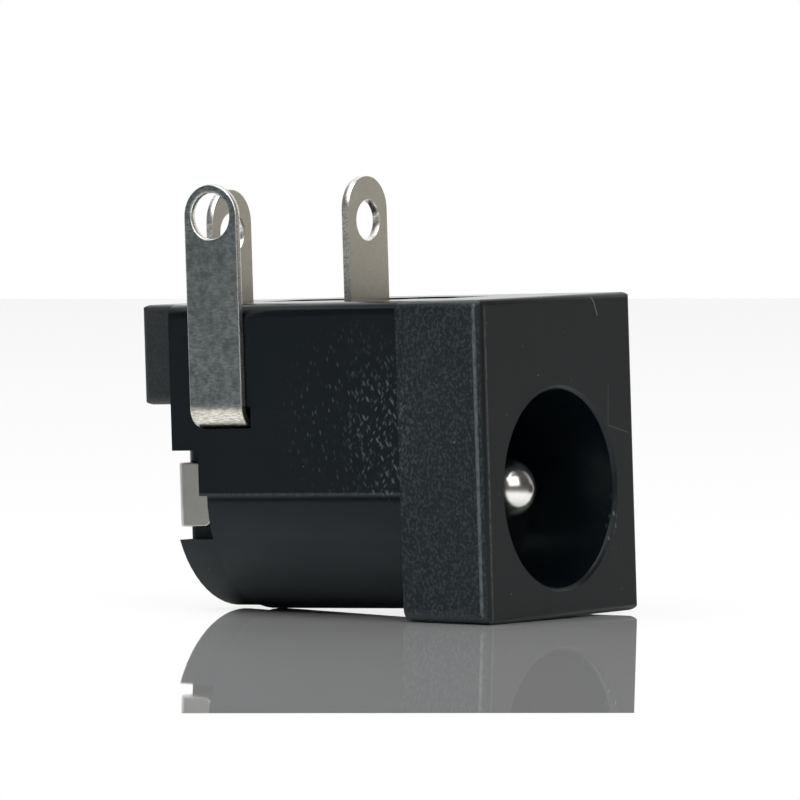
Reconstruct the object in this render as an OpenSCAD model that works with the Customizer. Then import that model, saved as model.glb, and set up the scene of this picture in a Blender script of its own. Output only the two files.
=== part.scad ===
// Circuit-board barrel jack with a normally closed switch contact.
// +X points out of the mouth along the plug axis, and +Z points out of the board face.
// The origin is the centre of the mouth. Lengths are in millimetres and angles in degrees.

/* [Plug socket] */
// Radius of the socket that takes the plug's sleeve
socket_r = 3.25; // [2.85:0.05:3.6]
// Depth of the socket from the mouth to its floor
socket_depth = 8.9; // [8.2:0.1:12]
// Width of the chamfer round the mouth
mouth_chamfer = 0.12; // [0.05:0.01:0.3]

/* [Housing] */
// Distance from the plug axis up to the board face
board_h = 6.3; // [5.9:0.1:8]
// Wall of the round barrel under the socket
barrel_wall = 0.69; // [0.5:0.01:1.2]
// How far each flat side wall stands out from the barrel
side_step = 0.45; // [0.35:0.01:1]
// Thickness of the front flange
flange_t = 3.3; // [1.6:0.1:3.8]
// How far the flange stands out from the side walls
flange_step = 0.09; // [0.05:0.01:0.6]
// How far the flange's front edge drops below the barrel
flange_drop_step = 0.28; // [0.2:0.01:1]
// Draft of the flange's underside
flange_draft = 1.8; // [0.1:0.1:3]
// Radius of the flange's front edges
front_edge_r = 0.2; // [0.1:0.05:0.5]
// Radius of the flange's long lower edges
lower_edge_r = 0.45; // [0.1:0.05:0.8]
// Radius of the flange's long upper edges
upper_edge_r = 0.35; // [0.1:0.05:0.5]
// Wall between the socket floor and the switch slot
floor_wall = 0.32; // [0.25:0.01:1]
// Length of the narrower rear section
neck_l = 1.44; // [1.2:0.02:2.5]
// How far the rear section is set in from the barrel
neck_step = 0.1; // [0.05:0.01:0.3]
// Length of the bridge behind the rear section
bridge_l = 1.74; // [1.1:0.02:2.5]
// Width of the bridge
bridge_w = 6; // [4:0.1:7]
// Height of the bridge below the board face
bridge_h = 3.32; // [2:0.02:3.6]
// Radius of the bridge's outer edges
bridge_edge_r = 0.3; // [0.05:0.01:0.4]
// Height of the side channels that hold the clasping tabs
channel_h = 2.96; // [2.6:0.02:3.6]
// Depth of the side channels
channel_depth = 0.81; // [0.5:0.01:1]

/* [Centre pin] */
// Radius of the contact pin
pin_r = 1; // [0.6:0.05:1.3]
// How far the pin's tip lies behind the mouth
pin_setback = 1.17; // [0.3:0.01:3]
// Radius of the riveted neck that passes through the rear wall
neck_r = 0.75; // [0.4:0.05:0.8]
// Radius of the rivet head
rivet_r = 1.2; // [1:0.05:1.6]
// Height of the rivet head
rivet_h = 0.35; // [0.2:0.05:0.6]

/* [Terminals] */
// Thickness of the contact sheet
sheet_t = 0.3; // [0.2:0.02:0.4]
// Width of the two tails on the centre line
tail_w = 2.24; // [1.8:0.02:2.5]
// Height of the centre pin's tail above the board face
rear_tail_h = 3.76; // [3:0.02:6]
// Height of the sleeve spring's tail above the board face
spring_tail_h = 4.08; // [3:0.02:6]
// Height of the switch tail above the board face
switch_tail_h = 3.96; // [3:0.02:6]
// Radius of the wire hole in the tails on the centre line
tail_hole_r = 0.665; // [0.3:0.005:0.7]
// Distance from a centre-line tail's tip to its wire hole
tail_hole_drop = 1.47; // [1.3:0.01:2.2]
// Radius of the wire hole in the switch tail
switch_hole_r = 0.76; // [0.3:0.01:0.8]

/* [Centre pin terminal] */
// Height of the arms that clasp the core
arm_h = 2.12; // [1.6:0.02:2.4]
// Inside radius of the arms' bends
arm_bend_r = 0.15; // [0.1:0.01:0.25]
// Space left in front of each clasping tab
arm_gap = 0.3; // [0.1:0.05:0.5]
// Radius of the round plate behind the rivet
rivet_plate_r = 1.75; // [1.7:0.05:2.2]

/* [Sleeve spring terminal] */
// Distance from the mouth to the middle of the spring's tail
spring_tail_x = 7.47; // [7.1:0.01:8]
// Width of the spring
spring_w = 2; // [1.4:0.05:2.2]
// Depth of the spring's flat bed below the board face
bed_depth = 0.7; // [0.5:0.05:0.9]
// Radius of the fold at the spring's front, at the middle of the sheet
fold_r = 0.6; // [0.4:0.02:0.65]
// Slope of the blade from the fold to its contact bump
blade_slope = 35; // [32:1:42]
// How far the contact bump reaches into the socket
bump_reach = 1.1; // [0.7:0.05:1.2]
// Radius of the contact bump, at the middle of the sheet
bump_r = 0.8; // [0.5:0.05:1]
// Slope of the blade behind the bump
heel_slope = 14; // [10:1:20]
// Height of the switch contact above the bump
bump_h = 0.36; // [0.3:0.01:0.5]
// How far the blade's heel lies over the switch contact
heel_overlap = 1.3; // [0.8:0.05:1.6]
// Width across the wings that hold the bed in the housing
wing_w = 3.3; // [2.9:0.05:4]
// Length of the wings
wing_l = 1.5; // [1:0.05:1.7]

/* [Switch terminal] */
// Width of the switch strip
switch_w = 2.1; // [1.7:0.02:2.6]
// How far the strip's rear edge stands past the side wall
switch_overhang = 0.07; // [0:0.01:0.2]
// Inside radius of the strip's bend
switch_bend_r = 0.4; // [0.3:0.05:0.9]
// How far the contact reaches past the plug axis
switch_reach = 0.95; // [0.5:0.05:1.1]

/* [Clearances] */
// Gap round the riveted neck in its hole
neck_gap = 0.03; // [0.01:0.01:0.1]
// Gap beside the tail and the switch strip in their slots
slot_gap = 0.15; // [0.05:0.01:0.25]
// Gap round the spring in its pocket
spring_gap = 0.25; // [0.15:0.01:0.3]
// Gap round the spring's wings in their recess
wing_gap = 0.05; // [0.02:0.01:0.1]

/* [Hidden] */
$fn = 64;
// how far a cutting tool runs past the surface that it breaks through
cut = 0.5;
// largest turn of one facet in a bend of the sheet
bend_facet = 6;
plastic = "#202327";
plating = "#b9b7ae";
pin_plating = "#d2d1cc";

// half widths and radii, each built outward from the socket
barrel_r = socket_r + barrel_wall;
side_y = barrel_r + side_step;
flange_y = side_y + flange_step;
flange_drop = barrel_r + flange_drop_step;
// the body's upper rounds stay inside the flange's
body_edge_r = upper_edge_r + flange_step;
neck_y = barrel_r - neck_step;
core_y = neck_y - channel_depth;

// places along the plug axis, each measured back from the mouth
switch_front = socket_depth + floor_wall + slot_gap;
switch_back = switch_front + switch_w;
body_l = switch_back - switch_overhang;
rear_l = body_l + neck_l;
plate_back = rear_l + sheet_t;
housing_l = rear_l + bridge_l;

// heights of the contacts above the plug axis
bump_z = socket_r - bump_reach;
contact_z = bump_z + bump_h;
bed_z = board_h - bed_depth - sheet_t / 2;

// the spring's runs, from its tail to its heel
bed_bend_r = sheet_t * 1.5;
pocket_front = flange_t + front_edge_r / 2;
fold_x = pocket_front + spring_gap + sheet_t / 2 + fold_r;
bed_run = spring_tail_x - bed_bend_r - fold_x;
fold_drop = fold_r * (1 + cos(blade_slope));
bump_drop = bump_r * (1 - cos(blade_slope));
blade_run = (bed_z - fold_drop - bump_drop - bump_z - sheet_t / 2) / sin(blade_slope);
heel_rise = bump_h - 2 * bump_r * (1 - cos(heel_slope));
heel_run = heel_rise / sin(heel_slope);
bump_x = fold_x - fold_r * sin(blade_slope) + blade_run * cos(blade_slope) + bump_r * sin(blade_slope);
heel_x = bump_x + 2 * bump_r * sin(heel_slope) + heel_run * cos(heel_slope);
heel_end = switch_front + heel_overlap;
// the rear edge of the wings, which sit in the middle of the bed
wing_back = -(spring_tail_x - bed_bend_r + fold_x) / 2 - wing_l / 2;

// Extrudes a side view, drawn in Y and Z, from x0 to x1
module along_x(x0, x1) {
    translate([x0, 0, 0])
        rotate([90, 0, 90])
            linear_extrude(x1 - x0)
                children();
}

// Extrudes a side view, drawn in X and Z, from y0 to y1
module along_y(y0, y1) {
    translate([0, y1, 0])
        rotate([90, 0, 0])
            linear_extrude(y1 - y0)
                children();
}

// Extrudes a plan view, drawn in X and Y, from z0 to z1
module along_z(z0, z1) {
    translate([0, 0, z0])
        linear_extrude(z1 - z0)
            children();
}

// Rectangle between two corners
module area(u0, u1, v0, v1) {
    translate([u0, v0])
        square([u1 - u0, v1 - v0]);
}

// What rounding takes off a corner at [u, v], where the solid lies towards [su, sv]
module corner_cut(u, v, su, sv, r) {
    quarter = sv < 0 ? (su < 0 ? 0 : 90) : (su > 0 ? 180 : 270);
    translate([u + su * r, v + sv * r])
        rotate(quarter)
            difference() {
                square(r + cut);
                circle(r);
            }
}

// Unit vector at an angle
function toward(angle) = [cos(angle), sin(angle)];

// Points along one face of a bent sheet, at an offset to the left of its middle line.
// Each step is a straight run, a turn after it, and that turn's radius at the middle of the sheet.
function sheet_face(steps, offset, at, heading, i = 0) =
    i == len(steps) ? [] :
    let (
        turn = steps[i][1],
        side = turn < 0 ? -1 : 1,
        r = steps[i][2],
        corner = at + steps[i][0] * toward(heading),
        centre = corner + side * r * toward(heading + 90),
        facets = ceil(abs(turn) / bend_facet),
        from = heading - 90 * side
    )
    concat(
        steps[i][0] > 0 ? [corner + offset * toward(heading + 90)] : [],
        [for (k = [1 : 1 : facets]) centre + (r - side * offset) * toward(from + turn * k / facets)],
        sheet_face(steps, offset, centre + r * toward(from + turn), heading + turn, i + 1)
    );

function reversed(list) = [for (i = [len(list) - 1 : -1 : 0]) list[i]];

// Bent sheet of thickness t seen edge on, from a starting point and heading
module bent_sheet(start, heading, steps, t) {
    left = t / 2 * toward(heading + 90);
    polygon(concat(
        [start - left, start + left],
        sheet_face(steps, t / 2, start, heading),
        reversed(sheet_face(steps, -t / 2, start, heading))
    ));
}

// Flat tail with a round end and a wire hole, centred on u = 0
module tail(w, base, tip, hole_r, hole_drop) {
    difference() {
        union() {
            area(-w / 2, w / 2, base, tip - w / 2);
            translate([0, tip - w / 2])
                circle(w / 2);
        }
        translate([0, tip - hole_drop])
            circle(hole_r);
    }
}

// Upright outline with round upper corners, drawn in Y and Z from v0 up to the board face
module upright(half_w, v0, edge_r) {
    difference() {
        area(-half_w, half_w, v0, board_h);
        for (side = [-1, 1])
            corner_cut(side * half_w, board_h, -side, -1, edge_r);
    }
}

// Front flange, with round front edges and round long edges.
// Its underside and the lower edges' rounds rise together towards the rear.
module flange() {
    intersection() {
        along_y(-flange_y, flange_y)
            difference() {
                area(-flange_t, 0, -flange_drop, board_h);
                corner_cut(0, board_h, -1, -1, front_edge_r);
                corner_cut(0, -flange_drop, -1, 1, front_edge_r);
            }
        along_x(-flange_t, 0)
            upright(flange_y, -flange_drop, upper_edge_r);
        translate([0, 0, -flange_drop])
            rotate([0, flange_draft, 0])
                along_x(-flange_t - cut, cut)
                    difference() {
                        area(-flange_y, flange_y, 0, flange_drop + board_h + cut);
                        for (side = [-1, 1])
                            corner_cut(side * flange_y, 0, -side, 1, lower_edge_r);
                    }
        along_z(-flange_drop, board_h)
            difference() {
                area(-flange_t, 0, -flange_y, flange_y);
                for (side = [-1, 1])
                    corner_cut(0, side * flange_y, -1, -side, front_edge_r);
            }
    }
}

// Flat-sided body over a round barrel, with a narrower section at the rear
module body() {
    along_x(-body_l, -flange_t / 2) {
        upright(side_y, 0, body_edge_r);
        circle(barrel_r);
    }
    along_x(-rear_l, -body_l) {
        upright(neck_y, 0, body_edge_r);
        circle(neck_y);
    }
}

// Bridge behind the rear section, which traps the centre pin's tail
module bridge() {
    intersection() {
        along_y(-bridge_w / 2, bridge_w / 2)
            difference() {
                area(-housing_l, -rear_l, board_h - bridge_h, board_h);
                corner_cut(-housing_l, board_h, 1, -1, bridge_edge_r);
                corner_cut(-housing_l, board_h - bridge_h, 1, 1, bridge_edge_r);
            }
        along_z(0, board_h)
            difference() {
                area(-housing_l, -rear_l, -bridge_w / 2, bridge_w / 2);
                for (side = [-1, 1])
                    corner_cut(-housing_l, side * bridge_w / 2, 1, -side, bridge_edge_r);
            }
        along_x(-housing_l, -rear_l)
            difference() {
                upright(bridge_w / 2, board_h - bridge_h, bridge_edge_r);
                for (side = [-1, 1])
                    corner_cut(side * bridge_w / 2, board_h - bridge_h, -side, 1, bridge_edge_r);
            }
    }
}

// Round socket for the plug, with its chamfered mouth and the hole for the pin's neck
module socket() {
    rotate([0, -90, 0]) {
        translate([0, 0, -cut])
            cylinder(r = socket_r, h = socket_depth + cut);
        cylinder(r1 = socket_r + mouth_chamfer, r2 = socket_r, h = mouth_chamfer);
        cylinder(r = neck_r + neck_gap, h = rear_l + cut);
    }
}

// Side channels, which leave a core for the centre pin's terminal to clasp
module channels() {
    along_z(-channel_h / 2, channel_h / 2)
        difference() {
            area(-rear_l - cut, -body_l, -neck_y - cut, neck_y + cut);
            area(-rear_l, -body_l, -core_y, core_y);
        }
    along_z(-channel_h / 2, channel_h / 2)
        for (side = [-1, 1])
            corner_cut(-rear_l, side * core_y, 1, -side, 2 * arm_bend_r);
}

// Pocket for the sleeve spring, open at the board face, with recesses for its wings and its tail
module spring_pocket() {
    half = spring_w / 2 + spring_gap;
    wing_half = wing_w / 2 + wing_gap;
    tail_half = tail_w / 2 + wing_gap;
    tail_reach = sheet_t / 2 + wing_gap;
    along_z(contact_z - sheet_t, board_h + cut)
        area(-heel_end - spring_gap, -pocket_front, -half, half);
    along_z(bed_z - sheet_t / 2, board_h + cut) {
        area(wing_back - wing_gap, wing_back + wing_l + wing_gap, -wing_half, wing_half);
        area(-spring_tail_x - tail_reach, -spring_tail_x + tail_reach, -tail_half, tail_half);
    }
}

// Slot that the switch strip enters from the side
module switch_slot() {
    floor_z = contact_z - sheet_t;
    bend_top = contact_z + switch_bend_r;
    along_x(-switch_back - wing_gap, -switch_front + slot_gap) {
        area(-side_y - cut, -side_y + switch_bend_r, floor_z, bend_top);
        area(-side_y, switch_reach + slot_gap, floor_z, contact_z + wing_gap);
    }
}

// Slot in the bridge for the centre pin's tail
module tail_slot() {
    half = tail_w / 2 + slot_gap;
    along_z(0, board_h + cut)
        area(-plate_back - slot_gap, -rear_l, -half, half);
}

// Moulded housing
module housing() {
    color(plastic)
        difference() {
            union() {
                flange();
                body();
                bridge();
            }
            socket();
            channels();
            spring_pocket();
            switch_slot();
            tail_slot();
        }
}

// Turned pin: its shoulder seats on the socket floor, and its neck is riveted behind the plate
module centre_pin() {
    tip_x = pin_setback + pin_r;
    rivet_sphere_r = (rivet_r * rivet_r + rivet_h * rivet_h) / (2 * rivet_h);
    color(pin_plating)
        rotate([0, -90, 0]) {
            translate([0, 0, tip_x])
                sphere(pin_r);
            translate([0, 0, tip_x])
                cylinder(r = pin_r, h = socket_depth - tip_x);
            translate([0, 0, socket_depth])
                cylinder(r = neck_r, h = plate_back - socket_depth);
            translate([0, 0, plate_back])
                intersection() {
                    cylinder(r = rivet_r, h = rivet_h);
                    translate([0, 0, rivet_h - rivet_sphere_r])
                        sphere(rivet_sphere_r);
                }
        }
}

// Rear plate with its solder tail, and arms whose tabs clasp the core from both sides
module centre_pin_terminal() {
    bend_mid = arm_bend_r + sheet_t / 2;
    arm_run = core_y + sheet_t / 2 - bend_mid;
    tab_end = body_l + arm_gap;
    tab_run = rear_l + sheet_t / 2 - bend_mid - tab_end;
    color(plating)
        difference() {
            union() {
                along_x(-plate_back, -rear_l) {
                    tail(tail_w, 0, board_h + rear_tail_h, tail_hole_r, tail_hole_drop);
                    circle(rivet_plate_r);
                }
                intersection() {
                    along_z(-arm_h / 2, arm_h / 2)
                        for (side = [-1, 1])
                            bent_sheet(
                                [-rear_l - sheet_t / 2, 0],
                                side * 90,
                                [[arm_run, -side * 90, bend_mid], [tab_run, 0, 0]],
                                sheet_t
                            );
                    along_y(-core_y - sheet_t, core_y + sheet_t)
                        difference() {
                            area(-plate_back, -tab_end, -arm_h / 2, arm_h / 2);
                            for (end = [-1, 1])
                                corner_cut(-tab_end, end * arm_h / 2, -1, -end, arm_bend_r + slot_gap);
                        }
                }
            }
            rotate([0, -90, 0])
                cylinder(r = neck_r, h = housing_l);
        }
}

// Folded spring: its tail rises from the bed, and its blade touches the plug and the switch contact
module sleeve_spring_terminal() {
    color(plating) {
        along_x(-spring_tail_x - sheet_t / 2, -spring_tail_x + sheet_t / 2)
            tail(tail_w, bed_z + bed_bend_r, board_h + spring_tail_h, tail_hole_r, tail_hole_drop);
        along_y(-spring_w / 2, spring_w / 2)
            bent_sheet([-spring_tail_x, bed_z + bed_bend_r], -90, [
                [0, 90, bed_bend_r],
                [bed_run, blade_slope - 180, fold_r],
                [blade_run, -blade_slope - heel_slope, bump_r],
                [heel_run, heel_slope, bump_r],
                [heel_end - heel_x, 0, 0]
            ], sheet_t);
        along_z(bed_z - sheet_t / 2, bed_z + sheet_t / 2)
            area(wing_back, wing_back + wing_l, -wing_w / 2, wing_w / 2);
    }
}

// Side strip: its tail lies on the side wall, and its bent end lies under the spring's heel
module switch_terminal() {
    bend_mid = switch_bend_r + sheet_t / 2;
    bend_z = contact_z + switch_bend_r;
    strip_x = -(switch_front + switch_back) / 2;
    color(plating) {
        translate([strip_x, 0, 0])
            along_y(-side_y - sheet_t, -side_y)
                tail(switch_w, bend_z, board_h + switch_tail_h, switch_hole_r, switch_w / 2);
        along_x(-switch_back, -switch_front)
            bent_sheet([-side_y - sheet_t / 2, bend_z], -90, [
                [0, 90, bend_mid],
                [side_y - switch_bend_r + switch_reach, 0, 0]
            ], sheet_t);
    }
}

housing();
centre_pin();
centre_pin_terminal();
sleeve_spring_terminal();
switch_terminal();
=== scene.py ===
"""A board-mount barrel jack, dressed for a studio picture. Lengths are in metres unless a name says mm."""

import math

import bpy
from mathutils import Matrix, Vector

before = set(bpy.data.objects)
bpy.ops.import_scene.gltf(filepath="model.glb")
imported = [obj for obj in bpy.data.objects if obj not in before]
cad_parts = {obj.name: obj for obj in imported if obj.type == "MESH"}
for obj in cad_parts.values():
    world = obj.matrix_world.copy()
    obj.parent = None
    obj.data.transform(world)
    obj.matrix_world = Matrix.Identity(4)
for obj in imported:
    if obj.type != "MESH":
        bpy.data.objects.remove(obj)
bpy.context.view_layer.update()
mm = 0.001


# Housing: one injection moulding in black thermoplastic, made in one mould with the socket's core.
# The mould was polished for the walls and the barrel, and spark eroded for the flange and the rear
# bridge, which leaves a fine grain. Handling has scuffed the near wall and the socket's rim.
flange_t_mm = 3.3
wall_y_mm = 4.39
rear_wall_x_mm = -12.84
board_z_mm = 6.3
socket_r_mm = 3.25
plastic_colour = (0.0015, 0.0034, 0.0050, 1)
# The front face is painted darker than the walls of the same plastic: painted shade.
face_colour = (0.0020, 0.0014, 0.0013, 1)
grain_colour = (0.003, 0.006, 0.008, 1)
bridge_colour = (0.026, 0.026, 0.025, 1)
grain_light = (0.030, 0.035, 0.037, 1)
scuff_colour = (0.095, 0.115, 0.115, 1)
dust_colour = (0.15, 0.16, 0.16, 1)
# Colour of the painted highlight lines along the flange's edges and along the step above the barrel.
painted_edge_highlight_colour = (0.10, 0.11, 0.115, 1)
grain_size_mm = 0.085
edge_round_mm = 0.05


def put(socket, value):
    """Links a node socket to another, or sets its value."""
    if isinstance(value, bpy.types.NodeSocket):
        socket.node.id_data.links.new(value, socket)
    else:
        socket.default_value = value


def add(tree, kind, _settings=None, **inputs):
    """Adds a shader node. Input names take _ for a space; a list fills the inputs in order."""
    made = tree.nodes.new("ShaderNode" + kind)
    for name, value in (_settings or {}).items():
        setattr(made, name, value)
    for name, value in inputs.items():
        if name == "values":
            for i, v in enumerate(value):
                put(made.inputs[i], v)
        else:
            put(made.inputs[name.replace("_", " ")], value)
    return made


def sums(tree, operation, *values):
    """One Math node on one to three values."""
    return add(tree, "Math", {"operation": operation}, values=values).outputs[0]


def ramp(tree, value, low, high, out_low=0.0, out_high=1.0):
    """Maps low..high to out_low..out_high with soft ends."""
    made = add(tree, "MapRange", {"interpolation_type": "SMOOTHSTEP"})
    for i, v in enumerate((value, low, high, out_low, out_high)):
        put(made.inputs[i], v)
    return made.outputs[0]


def both(tree, *masks):
    """The product of several masks."""
    result = masks[0]
    for mask in masks[1:]:
        result = sums(tree, "MULTIPLY", result, mask)
    return result


def any_of(tree, *masks):
    """The highest of several masks."""
    result = masks[0]
    for mask in masks[1:]:
        result = sums(tree, "MAXIMUM", result, mask)
    return result


def blended(tree, factor, a, b):
    """Mixes two colours."""
    made = add(tree, "Mix", {"data_type": "RGBA"})
    put(made.inputs[0], factor)
    put(made.inputs[6], a)
    put(made.inputs[7], b)
    return made.outputs[2]


def noise(tree, place, size_mm, detail=3.0, roughness=0.55, stretch=(1, 1, 1)):
    """Fractal noise whose features are about size_mm wide, drawn out along an axis by stretch."""
    scaled = add(tree, "VectorMath", {"operation": "DIVIDE"}, values=(place, stretch)).outputs[0]
    grit = add(tree, "TexNoise", None, Vector=scaled, Scale=1 / (size_mm * mm), Detail=detail, Roughness=roughness)
    return grit.outputs[0]


def start(name):
    """An empty node material with its tree, its object-space place and its flat normal."""
    material = bpy.data.materials.new(name)
    material.use_nodes = True
    tree = material.node_tree
    tree.nodes.clear()
    place = add(tree, "TexCoord").outputs["Object"]
    flat = add(tree, "NewGeometry").outputs["True Normal"]
    return material, tree, place, flat


def finish_surface(tree, shader):
    out = tree.nodes.new("ShaderNodeOutputMaterial")
    tree.links.new(shader.outputs[0], out.inputs["Surface"])


def dress(node, material, round_mm=edge_round_mm, angle=32):
    """Gives a CAD node its finish and a small round on its sharp edges, once its faces are joined."""
    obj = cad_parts[node]
    obj.data.materials.clear()
    obj.data.materials.append(material)
    obj.modifiers.new("joined_faces", "WELD").merge_threshold = 0.001 * mm
    flats = obj.modifiers.new("whole_flats", "DECIMATE")
    flats.decimate_type = "DISSOLVE"
    flats.angle_limit = math.radians(0.3)
    soften = obj.modifiers.new("edges", "BEVEL")
    soften.width = round_mm * mm
    soften.segments = 2
    soften.limit_method = "ANGLE"
    soften.angle_limit = math.radians(angle)
    soften.harden_normals = True
    soften.use_clamp_overlap = True
    return obj


def spot(tree, place, centre_mm, half_mm, soft=0.6):
    """A soft oval mask about a centre, with half sizes in mm along each axis."""
    centre = [c * mm for c in centre_mm]
    half = [h * mm for h in half_mm]
    offset = add(tree, "VectorMath", {"operation": "SUBTRACT"}, values=(place, centre)).outputs[0]
    scaled = add(tree, "VectorMath", {"operation": "DIVIDE"}, values=(offset, half)).outputs[0]
    reach = add(tree, "VectorMath", {"operation": "LENGTH"}, values=(scaled,)).outputs["Value"]
    return ramp(tree, reach, 1 - soft, 1 + soft, 1.0, 0.0)


def nicks(tree, place, turn, size_mm, stretch, share, reach=0.3):
    """Scattered short marks, leaned about Y by turn degrees. A share of the cells has one."""
    lean_by = math.radians(turn)
    leaned = add(tree, "VectorRotate", {"rotation_type": "Y_AXIS"}, Vector=place, Angle=lean_by).outputs[0]
    scaled = add(tree, "VectorMath", {"operation": "DIVIDE"}, values=(leaned, (1, 1, stretch))).outputs[0]
    cells = add(tree, "TexVoronoi", {"feature": "F1"}, Vector=scaled, Scale=1 / (size_mm * mm), Randomness=1.0)
    pick = add(tree, "SeparateXYZ", None, Vector=cells.outputs["Color"]).outputs
    dot = ramp(tree, cells.outputs["Distance"], reach * 0.45, reach, 1.0, 0.0)
    present = ramp(tree, pick[0], 1 - share, 1 - share * 0.4)
    depth = ramp(tree, pick[1], 0.0, 1.0, 0.35, 1.0)
    return both(tree, dot, present, depth)


def scratch(tree, place, width_mm, *points_mm):
    """A thin line through points in mm."""
    lines = []
    for a, b in zip(points_mm, points_mm[1:]):
        a, b = Vector(a) * mm, Vector(b) * mm
        from_a = add(tree, "VectorMath", {"operation": "SUBTRACT"}, values=(place, a)).outputs[0]
        run = (b - a) / (b - a).length_squared
        along = add(tree, "VectorMath", {"operation": "DOT_PRODUCT"}, values=(from_a, run)).outputs["Value"]
        along = add(tree, "Clamp", None, Value=along).outputs[0]
        back = add(tree, "VectorMath", {"operation": "SCALE"}, Vector=b - a, Scale=along).outputs[0]
        apart = add(tree, "VectorMath", {"operation": "DISTANCE"}, values=(from_a, back)).outputs["Value"]
        lines.append(ramp(tree, apart, width_mm * 0.25 * mm, width_mm * 0.7 * mm, 1.0, 0.0))
    return any_of(tree, *lines)


moulded, tree, place, flat = start("moulded_black_plastic")
x, y, z = add(tree, "SeparateXYZ", None, Vector=place).outputs
nx, ny, nz = add(tree, "SeparateXYZ", None, Vector=flat).outputs
faces_side = ramp(tree, sums(tree, "ABSOLUTE", ny), 0.55, 0.85)
faces_down = ramp(tree, nz, -0.8, -0.5, 1.0, 0.0)
front_face = both(tree, ramp(tree, nx, 0.55, 0.85), ramp(tree, x, -0.3 * mm, -0.15 * mm))
at_board = ramp(tree, z, (board_z_mm - 0.3) * mm, (board_z_mm - 0.1) * mm)
board_side = both(tree, ramp(tree, nz, 0.7, 0.95), at_board)
on_flange = sums(tree, "GREATER_THAN", x, -(flange_t_mm + 0.02) * mm)
on_bridge = sums(tree, "LESS_THAN", x, rear_wall_x_mm * mm)
behind_flange = sums(tree, "LESS_THAN", x, -(flange_t_mm + 0.02) * mm)
on_barrel = both(tree, ramp(tree, z, -0.15 * mm, 0.0, 1.0, 0.0), behind_flange)
off_axis = sums(tree, "SQRT", sums(tree, "MULTIPLY_ADD", y, y, both(tree, z, z)))
outside = ramp(tree, off_axis, (socket_r_mm + 0.15) * mm, (socket_r_mm + 0.3) * mm)
grained = both(tree, any_of(tree, on_flange, on_bridge), any_of(tree, faces_side, faces_down), outside)

grain = noise(tree, place, grain_size_mm, 2.5, 0.6, (1, 1, 1.3))
cloud = noise(tree, place, 1.6, 3.0, 0.5)
fine = noise(tree, place, 0.03, 2.0, 0.6)
# The front face gets its darker colour here: painted shade.
colour = blended(tree, front_face, plastic_colour, face_colour)
grain_tone = blended(tree, ramp(tree, grain, 0.44, 0.68), grain_colour, grain_light)
colour = blended(tree, grained, colour, grain_tone)

colour = blended(tree, both(tree, on_bridge, faces_side, 0.6), colour, bridge_colour)

scuffed = any_of(tree,
    spot(tree, place, (-4.05, -wall_y_mm, 2.3), (1.2, 0.5, 2.0)),
    spot(tree, place, (-4.0, -wall_y_mm, 1.1), (1.1, 0.5, 1.4)))
around = spot(tree, place, (-5.2, -wall_y_mm, 2.6), (2.2, 0.5, 2.4))
marks = any_of(tree,
    both(tree, nicks(tree, place, 28, 0.14, 2.8, 1.0, 0.36), scuffed),
    both(tree, nicks(tree, place, -32, 0.12, 2.6, 0.95, 0.35), scuffed),
    both(tree, nicks(tree, place, 14, 0.13, 2.6, 0.9, 0.32), around))
specks = both(tree, nicks(tree, place, 0, 0.55, 1.0, 0.16, 0.07), sums(tree, "SUBTRACT", 1.0, board_side))
beside_rim = spot(tree, place, (0, 3.0, -1.2), (0.4, 0.42, 1.4))
rim_scuffs = both(tree, nicks(tree, place, 0, 0.16, 2.4, 0.5), beside_rim)
lines = any_of(tree,
    scratch(tree, place, 0.05, (0, 2.06, 6.25), (0, 2.29, 5.98), (0, 2.45, 5.58)),
    both(tree, 0.35, scratch(tree, place, 0.04, (0, 2.99, 3.32), (0, 2.91, 1.94), (0, 4.11, 1.66))),
    both(tree, 0.4, scratch(tree, place, 0.05, (0, -0.9, 3.12), (0, -0.1, 3.27), (0, 0.7, 3.2))),
    scratch(tree, place, 0.05, (-1.74, -4.45, -0.54), (-1.52, -4.45, -0.74)))
worn = any_of(tree, marks, rim_scuffs, lines)
# Painted highlights: light lines painted along the flange's near front edge, a fainter one on the front face beside
# it, one along the flange's near top edge, and one along the near wall's lower edge above the barrel. A noise breaks
# them up.
edge_highlight_noise = noise(tree, place, 0.12, 3.0, 0.7, (1, 1, 2))
painted_edge_highlights = any_of(tree,
    both(tree,
        scratch(tree, place, 0.13, (-0.24, -4.5, -4.1), (-0.24, -4.46, 6.2)),
        ramp(tree, edge_highlight_noise, 0.3, 0.6, 0.35, 1.0)),
    both(tree,
        scratch(tree, place, 0.1, (0.0, -4.2, -4.1), (0.0, -4.16, 6.2)),
        ramp(tree, edge_highlight_noise, 0.35, 0.65, 0.1, 0.6)),
    both(tree, scratch(tree, place, 0.16, (-3.2, -4.3, 6.26), (-0.2, -4.3, 6.26)), 0.45),
    both(tree,
        scratch(tree, place, 0.1, (-12.6, -4.39, 0.04), (-3.4, -4.39, 0.04)),
        ramp(tree, edge_highlight_noise, 0.3, 0.6, 0.15, 0.4)))
colour = blended(tree, painted_edge_highlights, colour, painted_edge_highlight_colour)
colour = blended(tree, worn, colour, scuff_colour)
colour = blended(tree, specks, colour, dust_colour)

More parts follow.
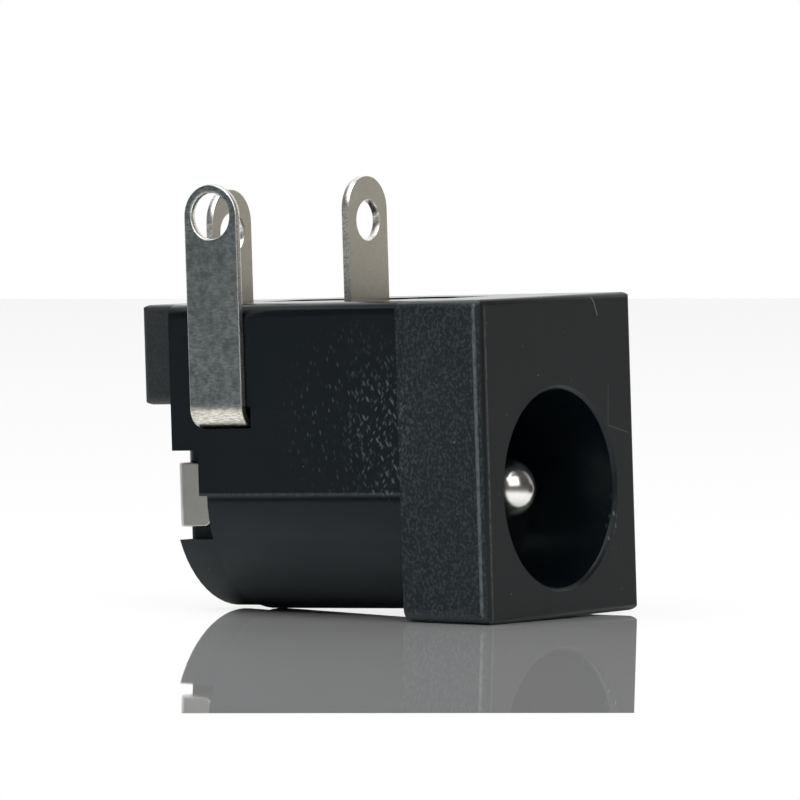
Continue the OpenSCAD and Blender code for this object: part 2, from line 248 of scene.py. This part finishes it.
relief = sums(tree, "MULTIPLY_ADD", grain, grained, both(tree, fine, 0.06))
relief = sums(tree, "MULTIPLY_ADD", worn, 0.25, relief)
under_step = both(tree, ramp(tree, z, -0.3 * mm, -0.1 * mm), on_barrel)
bump = add(tree, "Bump", None, Strength=0.5, Distance=0.02 * mm, Height=relief)
roughness = ramp(tree, grained, 0, 1, 0.3, 0.5)
roughness = sums(tree, "MULTIPLY_ADD", front_face, 0.1, roughness)
roughness = sums(tree, "MULTIPLY_ADD", on_barrel, 0.3, roughness)
roughness = sums(tree, "MULTIPLY_ADD", under_step, 0.4, roughness)
roughness = sums(tree, "MULTIPLY_ADD", board_side, -0.15, roughness)
roughness = sums(tree, "MULTIPLY_ADD", ramp(tree, cloud, 0.3, 0.7), 0.03, roughness)
shader = add(tree, "BsdfPrincipled", None, Base_Color=colour, Roughness=roughness, Normal=bump.outputs[0])
shader.inputs["Specular IOR Level"].default_value = 0.36
shader.inputs["Specular Tint"].default_value = (0.84, 0.96, 1.0, 1)
finish_surface(tree, shader)
dress("housing", moulded)


# Centre pin: turned brass with polished nickel plating, riveted in the rear wall.
pin_colour = (0.93, 0.92, 0.88, 1)

polished, tree, place, flat = start("polished_nickel")
turned = noise(tree, place, 0.05, 2.0, 0.5, (0.3, 3, 3))
bump = add(tree, "Bump", None, Strength=0.06, Distance=0.004 * mm, Height=turned)
tint = blended(tree, ramp(tree, noise(tree, place, 0.5), 0.4, 0.7), pin_colour, (0.84, 0.81, 0.74, 1))
shader = add(tree, "BsdfPrincipled", None, Base_Color=tint, Metallic=1.0, Roughness=0.2, Normal=bump.outputs[0])
finish_surface(tree, shader)
dress("centre_pin", polished, 0.03)


# Terminals: punched and bent from plated brass sheet. The rolled faces are dull and brushed along
# the strip, and the sheared edges are bright and rough. Below a given height the colour changes: the
# switch strip's bend is painted lighter and warmer, the warm tint of the bent plating with a painted
# reflection of the bright floor on it, and the rear tail's arms are a darker grey.
plate_colour = (0.86, 0.81, 0.68, 1)
tarnish_colour = (0.13, 0.15, 0.15, 1)
# The bright colour of the sheared edges, also used for the painted glints.
shear_and_glint_colour = (0.97, 0.95, 0.90, 1)
shear_shade = (0.50, 0.49, 0.46, 1)
# Lighter, warm colour for the switch strip's bend: the bent plating's warm tint with a painted reflection of the
# bright floor.
bend_tint_and_painted_reflection_colour = (0.95, 0.91, 0.80, 1)
arm_colour = (0.50, 0.51, 0.50, 1)
strip_colour = (0.52, 0.57, 0.57, 1)
sheet_round_mm = 0.085


def plated(name, across, along_stretch, dark_share, face_colour=plate_colour,
           bends_below_mm=-20.0, low_colour=bend_tint_and_painted_reflection_colour):
    """Plated sheet. across is the axis that its faces look along, 0 for X or 1 for Y, down to its bends."""
    material, tree, place, flat = start(name)
    height_up = add(tree, "SeparateXYZ", None, Vector=place).outputs[2]
    low = ramp(tree, height_up, (bends_below_mm - 0.15) * mm, (bends_below_mm + 0.15) * mm, 1.0, 0.0)
    looks = [sums(tree, "ABSOLUTE", o) for o in add(tree, "SeparateXYZ", None, Vector=flat).outputs]
    face = any_of(tree, looks[across], both(tree, low, any_of(tree, looks[1 - across], looks[2])))
    edge = ramp(tree, face, 0.35, 0.6, 1.0, 0.0)
    lines = noise(tree, place, 0.045, 4.0, 0.65, along_stretch)
    mottle = noise(tree, place, 0.3, 6.0, 0.72)
    # Painted highlights: small glints painted into the plating in the bright colour of the sheared edges.
    glint = ramp(tree, noise(tree, place, 0.07, 3.0, 0.7, along_stretch), 0.6, 0.72)
    tint = blended(tree, ramp(tree, mottle, 0.3, 0.72, dark_share, 0.0), face_colour, tarnish_colour)
    tint = blended(tree, both(tree, glint, 0.4), tint, shear_and_glint_colour)
    # Below bends_below_mm the colour moves to low_colour. On the switch strip this paints the bend lighter and
    # warmer, a painted reflection of the bright floor over the plating's warm tint. On the rear tail the arms turn a
    # darker grey.
    tint = blended(tree, both(tree, low, 0.85), tint, low_colour)
    tint = blended(tree, ramp(tree, lines, 0.35, 0.65, 0.05 + 0.6 * dark_share, 0.0), tint, tarnish_colour)
    shear = noise(tree, place, 0.06, 4.0, 0.7)
    tint = blended(tree, edge, tint, blended(tree, ramp(tree, shear, 0.35, 0.55), shear_shade, shear_and_glint_colour))
    height = sums(tree, "MULTIPLY_ADD", shear, edge, both(tree, lines, 0.5))
    bump = add(tree, "Bump", None, Strength=0.3, Distance=0.01 * mm, Height=height)
    gloss = ramp(tree, mottle, 0.3, 0.7, 0.38, 0.28)
    shader = add(tree, "BsdfPrincipled", None, Base_Color=tint, Metallic=1.0, Roughness=gloss, Normal=bump.outputs[0])
    finish_surface(tree, shader)
    return material


rear_plating = plated("plated_rear_tail", 0, (1, 4, 1), 0.08, plate_colour, 2.2, arm_colour)
dress("centre_pin_terminal", rear_plating, sheet_round_mm)
dress("sleeve_spring_terminal", plated("plated_spring", 0, (1, 4, 1), 0.08), sheet_round_mm)
# The strip below 2.95 mm takes the painted bend reflection.
strip_plating = plated("plated_switch_strip", 1, (5, 1, 1), 0.9, strip_colour, 2.95)
dress("switch_terminal", strip_plating, sheet_round_mm)


# Camera: a long lens, low and a little above the plate, looking at the mouth and the near wall.
aim = Vector((-4.405, -2.712, 3.036)) * mm
distance = 293.86 * mm
azimuth = math.radians(55.518)
elevation = math.radians(1.547)
roll = math.radians(-1.737)

lens = bpy.data.cameras.new("camera")
lens.lens = 405
lens.sensor_width = 36
lens.clip_start = 0.01
camera = bpy.data.objects.new("camera", lens)
level = math.cos(elevation)
out_along = Vector((level * math.cos(azimuth), -level * math.sin(azimuth), math.sin(elevation)))
camera.location = aim + out_along * distance
camera.rotation_mode = "QUATERNION"
rolled = Matrix.Rotation(roll, 3, "Z").to_quaternion()
camera.rotation_quaternion = (-out_along).to_track_quat("-Z", "Y") @ rolled
bpy.context.scene.collection.objects.link(camera)
bpy.context.scene.camera = camera


# Floor: a glossy pale plate that the jack stands on. The jack stands tipped a little, on the flange's
# near corner and the rear end of the barrel, so the plate leans by that much in the jack's frame.
# Past a line square to the camera, its glaze gives way to plain white.
pitch = math.radians(1.646)
lean = math.radians(0.608)
sheen_ends_mm = 44.37
plate_half_mm = 450.0
floor_up = Vector((math.sin(pitch), math.sin(lean), 1)).normalized()
touch = min(v.co.dot(floor_up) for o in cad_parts.values() for v in o.data.vertices)
foot = floor_up * touch

picture_across = camera.rotation_quaternion @ Vector((1, 0, 0))
along_edge = picture_across.cross(floor_up).cross(floor_up).normalized() * -1
to_camera = along_edge.cross(floor_up).normalized()
ways = ((-1, 1), (1, 1), (1, -1), (-1, -1))
corners = [(across * plate_half_mm, towards * plate_half_mm) for across, towards in ways]
plate_mesh = bpy.data.meshes.new("plate")
plate_mesh.from_pydata([foot + (along_edge * a + to_camera * b) * mm for a, b in corners], [], [(0, 1, 2, 3)])
plate = bpy.data.objects.new("plate", plate_mesh)
bpy.context.scene.collection.objects.link(plate)
gloss, tree, place, flat = start("glossy_pale_plate")
cloud = noise(tree, place, 40)
shade = blended(tree, cloud, (0.93, 0.93, 0.93, 1), (0.96, 0.96, 0.96, 1))
body = add(tree, "BsdfDiffuse", None, Color=shade)
glaze = add(tree, "BsdfGlossy", None, Color=(1, 1, 1, 1), Roughness=0.02)
slant = add(tree, "LayerWeight", None, Blend=0.5).outputs["Facing"]
mirror_share = ramp(tree, slant, 0.72, 0.93, 0.05, 0.84)
glazed = add(tree, "MixShader", None, values=(mirror_share, body.outputs[0], glaze.outputs[0]))
from_foot = add(tree, "VectorMath", {"operation": "SUBTRACT"}, values=(place, foot)).outputs[0]
forward = add(tree, "VectorMath", {"operation": "DOT_PRODUCT"}, values=(from_foot, to_camera)).outputs["Value"]
past_sheen = sums(tree, "GREATER_THAN", forward, sheen_ends_mm * mm)
plain = both(tree, past_sheen, add(tree, "LightPath").outputs["Is Camera Ray"])
white = add(tree, "Emission", None, Color=(1, 1, 1, 1), Strength=1.0)
shader = add(tree, "MixShader", None, values=(plain, glazed.outputs[0], white.outputs[0]))
finish_surface(tree, shader)
plate.data.materials.append(gloss)


# Light: a large soft panel overhead, a smaller one beyond the mouth, and a white backdrop behind
# the jack. The room on the camera's side is dim, which keeps the black walls black.
def panel(name, at, target, size, watts):
    lamp = bpy.data.lights.new(name, "AREA")
    lamp.shape = "RECTANGLE"
    lamp.size, lamp.size_y = size
    lamp.energy = watts
    obj = bpy.data.objects.new(name, lamp)
    obj.location = at
    obj.rotation_euler = (Vector(target) - Vector(at)).to_track_quat("-Z", "Y").to_euler()
    bpy.context.scene.collection.objects.link(obj)
    return obj


panel("overhead_panel", (0.02, -0.15, 0.40), (0, 0, 0), (0.5, 0.5), 2.15)
panel("mouth_side_panel", (0.40, -0.16, 0.24), (0, 0, 0), (0.36, 0.3), 0.5)

world = bpy.data.worlds.new("studio")
bpy.context.scene.world = world
world.use_nodes = True
tree = world.node_tree
tree.nodes.clear()
ray = add(tree, "TexCoord").outputs["Generated"]
to_backdrop = (-0.55, 0.83, 0.15)
behind = add(tree, "VectorMath", {"operation": "DOT_PRODUCT"}, values=(ray, to_backdrop)).outputs["Value"]
room = ramp(tree, behind, 0.2, 0.85, 0.06, 1.0)
seen = add(tree, "LightPath").outputs["Is Camera Ray"]
strength = sums(tree, "MAXIMUM", seen, room)
sky = add(tree, "Background", None, Color=(1, 1, 1, 1), Strength=strength)
out = tree.nodes.new("ShaderNodeOutputWorld")
tree.links.new(sky.outputs[0], out.inputs["Surface"])

bpy.context.scene.view_settings.view_transform = "Standard"
